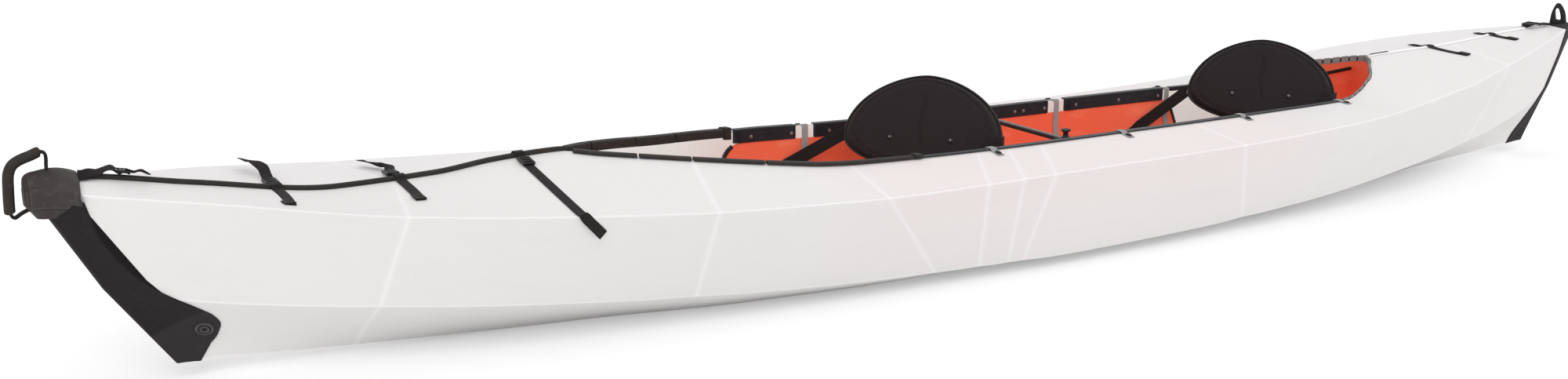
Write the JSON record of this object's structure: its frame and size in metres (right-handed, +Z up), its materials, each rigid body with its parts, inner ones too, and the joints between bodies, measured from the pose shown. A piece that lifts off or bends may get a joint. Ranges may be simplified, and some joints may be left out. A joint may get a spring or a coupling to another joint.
{
  "type": "folding kayak",
  "caption": "Open-cockpit folding kayak of creased white sheet, with dark rails, orange inner panels, half-moon backrests, footrests, webbing straps and covered ends.",
  "frame": {"origin": "on the floor at mid length and mid width", "axes": "-X towards the bow, +X towards the stern, -Y to port, +Y to starboard, +Z up"},
  "size_m": [4.9498, 0.8496, 0.5419],
  "materials": {
    "sheet": "translucent white folded sheet",
    "trim": "dark brown-black edge trim",
    "rail": "dark grey-black rail",
    "rim_grey": "grey rim",
    "orange": "orange sheet",
    "grey_webbing": "woven",
    "black_webbing": "woven",
    "foam": "padded fabric",
    "fairing": "dark coated fabric",
    "cap": "dark warm grey"
  },
  "bodies": {
    "hull": {"hull_bottom": "sheet", "hull_chine_port": "sheet", "hull_side_port": "sheet", "deck_port": "sheet", "side_panel_port": "orange", "coaming_trim_port": "trim", "gunwale_rail_port": "rail", "hull_chine_starboard": "sheet", "hull_side_starboard": "sheet", "deck_starboard": "sheet", "side_panel_starboard": "orange", "coaming_trim_starboard": "trim", "gunwale_rail_starboard_1": "rail", "gunwale_rail_starboard_2": "rail", "gunwale_rail_starboard_3": "rail", "gunwale_rail_starboard_4": "rail", "bow_seam_rail": "trim", "stern_seam_rail": "sheet", "cockpit_rear_rim": "rim_grey", "gunwale_strap_port_1": "grey_webbing", "gunwale_strap_port_2": "grey_webbing", "gunwale_strap_port_3": "grey_webbing", "gunwale_strap_port_4": "grey_webbing", "gunwale_strap_starboard_1": "grey_webbing", "gunwale_strap_starboard_2": "grey_webbing", "gunwale_strap_starboard_3": "grey_webbing", "floorboard_front": "orange", "floorboard_rear": "orange", "bulkhead_front": "orange", "rear_liner": "orange", "seat_pad_front": "foam", "seat_pad_rear": "foam", "seat_strap_front_port": "black_webbing", "seat_strap_front_starboard": "black_webbing", "seat_strap_rear_port": "black_webbing", "seat_strap_rear_starboard": "black_webbing", "crossbar": "trim", "bow_fairing": "fairing", "bow_cap": "cap", "bow_cap_strap": "black_webbing", "stern_strip": "fairing", "stern_buckle_strap": "black_webbing", "bow_deck_strap_1": "black_webbing", "bow_deck_strap_2": "black_webbing", "bow_deck_strap_3": "black_webbing", "stern_deck_strap_1": "black_webbing", "stern_deck_strap_2": "black_webbing"},
    "hanger_front": {"backrest_hanger_front": "black_webbing"},
    "hanger_rear": {"backrest_hanger_rear": "black_webbing"},
    "backrest_front": {"backrest_board_front": "trim", "backrest_foam_front": "foam"},
    "backrest_rear": {"backrest_board_rear": "trim", "backrest_foam_rear": "foam"},
    "footrest_front": {"footrest_front": "rail"},
    "footrest_rear": {"footrest_rear": "rail"},
    "knob_port": {"crossbar_knob_port": "rail"},
    "knob_starboard": {"crossbar_knob_starboard": "rail"},
    "bow_handle": {"bow_handle_grip": "trim", "bow_handle_webbing": "black_webbing"},
    "stern_loop": {"stern_loop": "black_webbing"}
  },
  "joints": [
    {"name": "backrest_swivel_front", "type": "hinge", "parent": "hull", "child": "hanger_front", "pos_m": [-0.253, 0, 0.319], "axis": [0, 0, 1], "range_deg": [-43, 4], "deforming": ["seat_strap_front_port", "seat_strap_front_starboard"]},
    {"name": "backrest_recline_front", "type": "hinge", "parent": "hanger_front", "child": "backrest_front", "pos_m": [-0.24705, 0.00555, 0.31449], "axis": [-0.682, 0.7314, 0], "range_deg": [-95, 16], "deforming": ["seat_strap_front_port", "seat_strap_front_starboard"]},
    {"name": "backrest_swivel_rear", "type": "hinge", "parent": "hull", "child": "hanger_rear", "pos_m": [1.001, 0, 0.319], "axis": [0, 0, 1], "range_deg": [-6, 4], "deforming": ["seat_strap_rear_port", "seat_strap_rear_starboard"]},
    {"name": "backrest_recline_rear", "type": "hinge", "parent": "hanger_rear", "child": "backrest_rear", "pos_m": [1.00695, 0.00555, 0.31449], "axis": [-0.682, 0.7314, 0], "range_deg": [-95, 16], "deforming": ["seat_strap_rear_port", "seat_strap_rear_starboard"]},
    {"name": "footrest_slide_front", "type": "slide", "parent": "hull", "child": "footrest_front", "axis": [1, 0, 0], "range_m": [-0.09, 0.09]},
    {"name": "footrest_slide_rear", "type": "slide", "parent": "hull", "child": "footrest_rear", "axis": [1, 0, 0], "range_m": [-0.09, 0.09]},
    {"name": "knob_spin_port", "type": "hinge", "parent": "hull", "child": "knob_port", "pos_m": [0.085, -0.1843, 0.33], "axis": [0, 0, 1], "continuous": true},
    {"name": "knob_spin_starboard", "type": "hinge", "parent": "hull", "child": "knob_starboard", "pos_m": [0.085, 0.1843, 0.33], "axis": [0, 0, 1], "continuous": true},
    {"name": "bow_handle_swing", "type": "hinge", "parent": "hull", "child": "bow_handle", "pos_m": [-2.39, 0, 0.478], "axis": [-0.4109, 0, -0.9117], "range_deg": [-50, 50], "deforming": ["bow_handle_webbing"]},
    {"name": "stern_loop_swing", "type": "hinge", "parent": "hull", "child": "stern_loop", "pos_m": [2.424, 0, 0.4368], "axis": [1, 0, 0], "range_deg": [-50, 50]}
  ]
}
